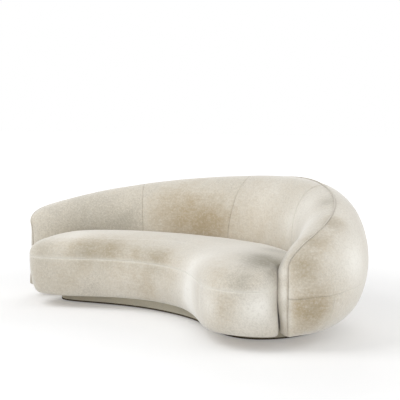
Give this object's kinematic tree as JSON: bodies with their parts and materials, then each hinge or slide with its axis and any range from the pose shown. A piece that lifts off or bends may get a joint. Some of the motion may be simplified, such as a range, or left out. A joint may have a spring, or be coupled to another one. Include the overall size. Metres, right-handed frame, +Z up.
{
  "type": "curved sofa",
  "caption": "Low curved sofa with a bean-shaped seat, a wrap-around back that rises to one side and ends in a rounded arm nose, and a recessed plinth.",
  "frame": {"origin": "on the floor, under the middle of the sofa's length and depth", "axes": "+X along the length towards the arm nose, +Y towards the back, +Z up; the seat opens towards -Y"},
  "size_m": [2.2488, 1.2886, 0.8022],
  "materials": {
    "velvet": "mottled mohair velvet, soft sheen",
    "piping": "covered cord",
    "foam": "open-cell upholstery foam",
    "felt": "needled felt",
    "webbing": "elastic webbing",
    "dust_cloth": "thin non-woven",
    "facing": "matt taupe facing",
    "glide": "dark nylon",
    "steel": "zinc-plated screws",
    "birch_ply": "raw birch ply"
  },
  "bodies": {
    "root": {"glides": "glide", "glide_screws": "steel", "plinth_wall": "birch_ply", "plinth_facing": "facing", "plinth_blocks": "birch_ply", "plinth_screws": "steel", "base_board": "birch_ply", "dust_cloth": "dust_cloth", "seat_front_rail": "birch_ply", "seat_rear_rail": "birch_ply", "rail_screws": "steel", "seat_ribs": "birch_ply", "seat_straps": "webbing", "seat_felt": "felt", "seat_foam": "foam", "front_foam": "foam", "seat_cover_top": "velvet", "front_cover_left": "velvet", "front_cover_right": "velvet", "back_ribs": "birch_ply", "rib_screws": "steel", "back_bottom_rail": "birch_ply", "back_middle_rail": "birch_ply", "back_top_rail": "birch_ply", "back_foam_inner": "foam", "back_foam_outer": "foam", "inner_cover_left": "velvet", "inner_cover_middle": "velvet", "inner_cover_right": "velvet", "inner_cover_arm": "velvet", "outer_cover_left": "velvet", "outer_cover_rear": "velvet", "outer_cover_arm": "velvet", "band_cover_left": "velvet", "band_cover_rear": "velvet", "band_cover_arm": "velvet", "crest_piping": "piping"}
  },
  "joints": []
}
